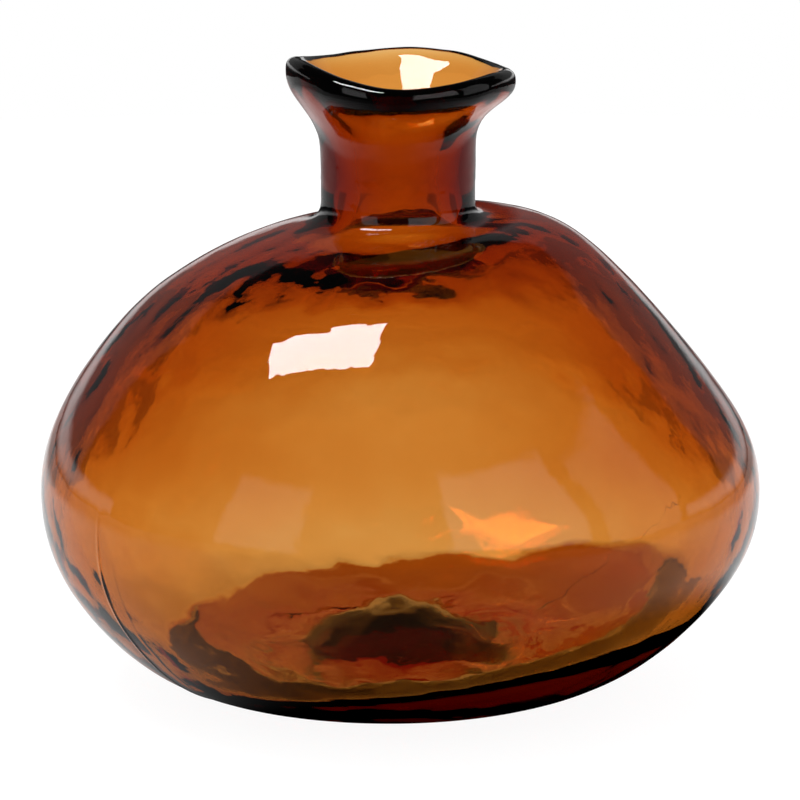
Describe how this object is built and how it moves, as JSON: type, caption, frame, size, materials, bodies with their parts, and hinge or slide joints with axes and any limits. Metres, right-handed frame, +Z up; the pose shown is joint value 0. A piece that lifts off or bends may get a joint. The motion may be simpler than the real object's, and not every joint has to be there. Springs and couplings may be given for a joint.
{
  "type": "glass bud vase",
  "caption": "Squat, lopsided amber glass vase with a short narrow neck and a thick, wavy rolled lip, for a few stems.",
  "frame": {"origin": "middle of the vase's width and depth, in the plane that its foot stands on", "axes": "+X to the right, where the shoulder is the higher and flatter one; +Y to the back; +Z up, out of the mouth"},
  "size_m": [0.2022, 0.1922, 0.1807],
  "materials": {
    "amber_glass": "gloss"
  },
  "bodies": {
    "root": {"vase_body": "amber_glass"}
  },
  "joints": []
}
